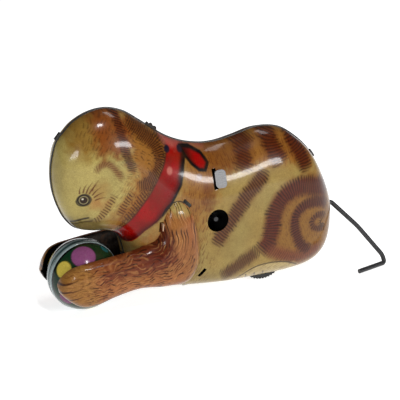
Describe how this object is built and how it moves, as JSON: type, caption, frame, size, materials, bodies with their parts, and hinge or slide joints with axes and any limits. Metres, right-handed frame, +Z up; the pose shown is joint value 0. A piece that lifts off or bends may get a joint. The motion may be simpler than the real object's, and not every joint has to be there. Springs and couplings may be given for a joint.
{
  "type": "wind up tin toy",
  "caption": "Clockwork lithographed tin cat lying down with a ball held between its front paws; a wire tail cranks round to roll it over as the drive wheels push it along.",
  "frame": {"origin": "centre of the whole toy's bounding box, on the floor it stands on", "axes": "+X towards the tail, -X where the cat faces, -Y the cat's left side with the keyhole, +Z up; the body's seam is the plane y = 2.1 mm"},
  "size_m": [0.2198, 0.061, 0.1241],
  "materials": {
    "litho_tin": "gloss lithograph under varnish",
    "litho_arm": "gloss lithograph under varnish",
    "litho_ball": "gloss lithograph",
    "clip_tin": "dark edge paint",
    "ear_felt": "torn and dull",
    "plate_steel": "tin-plated sheet",
    "bright_steel": "turned",
    "spring_steel": "blued strip",
    "gear_brass": "stamped",
    "zinc": "cast",
    "tail_black": "black wire",
    "lever_tin": "bare tinplate"
  },
  "bodies": {
    "housing": {"left_body_shell": "litho_tin", "right_body_shell": "litho_tin", "seam_clips": "clip_tin", "ear_stub": "ear_felt", "left_arm": "litho_arm", "right_arm": "litho_arm", "ball_axle": "bright_steel", "motor_plate_left": "plate_steel", "motor_plate_right": "plate_steel", "pillars": "bright_steel", "tail_bearing": "plate_steel", "lever_rivet": "bright_steel", "mainspring": "spring_steel"},
    "great": {"great_wheel": "gear_brass", "click_rivet": "bright_steel"},
    "click": {"click": "bright_steel"},
    "winder": {"winding_arbor": "bright_steel", "ratchet_wheel": "gear_brass"},
    "second": {"second_arbor": "bright_steel", "second_pinion": "gear_brass", "second_wheel": "gear_brass", "crown_wheel": "gear_brass"},
    "drive": {"drive_axle": "bright_steel", "drive_pinion": "gear_brass", "drive_wheel_left": "zinc", "drive_wheel_right": "zinc"},
    "governor": {"governor_arbor": "bright_steel", "governor_pinion": "gear_brass", "governor_flywheel": "zinc"},
    "tail": {"tail_wire": "tail_black", "tail_pinion": "gear_brass"},
    "ball": {"ball_half_left": "litho_ball", "ball_half_right": "litho_ball"},
    "lever": {"stop_lever": "lever_tin"}
  },
  "joints": [
    {"name": "drive_axle_spin", "type": "hinge", "parent": "housing", "child": "drive", "pos_m": [0.02845, 0.0021, 0.016], "axis": [0, 1, 0], "continuous": true},
    {"name": "great_wheel_spin", "type": "hinge", "parent": "housing", "child": "great", "pos_m": [-0.00884, 0.0021, 0.0497], "axis": [0, 1, 0], "continuous": true},
    {"name": "second_wheel_spin", "type": "hinge", "parent": "housing", "child": "second", "pos_m": [0.01699, 0.0021, 0.03889], "axis": [0, 1, 0], "continuous": true},
    {"name": "governor_spin", "type": "hinge", "parent": "housing", "child": "governor", "pos_m": [0.02863, 0.0021, 0.06079], "axis": [0, 1, 0], "continuous": true},
    {"name": "tail_spin", "type": "hinge", "parent": "housing", "child": "tail", "pos_m": [0.02346, 0.0021, 0.03889], "axis": [1, 0, 0], "continuous": true},
    {"name": "winding", "type": "hinge", "parent": "great", "child": "winder", "pos_m": [-0.00884, 0.0021, 0.0497], "axis": [0, 1, 0], "continuous": true},
    {"name": "ball_spin", "type": "hinge", "parent": "housing", "child": "ball", "pos_m": [-0.08854, 0.0021, 0.0214], "axis": [0, 1, 0], "continuous": true},
    {"name": "click_lift", "type": "hinge", "parent": "great", "child": "click", "pos_m": [-0.01734, -0.0019, 0.0572], "axis": [0, -1, 0], "range_deg": [0, 9], "stiffness_Nm_per_rad": 0.002, "springref_deg": -2.86},
    {"name": "stop_lever_tilt", "type": "hinge", "parent": "housing", "child": "lever", "pos_m": [0.01246, -0.0059, 0.07], "axis": [0, 1, 0], "range_deg": [0, 6]}
  ],
  "couplings": [
    {"joint": "second_wheel_spin", "follows": "drive_axle_spin", "ratio": -0.23077},
    {"joint": "great_wheel_spin", "follows": "drive_axle_spin", "ratio": 0.062937},
    {"joint": "governor_spin", "follows": "drive_axle_spin", "ratio": 1.2},
    {"joint": "tail_spin", "follows": "drive_axle_spin", "ratio": 0.86538}
  ]
}
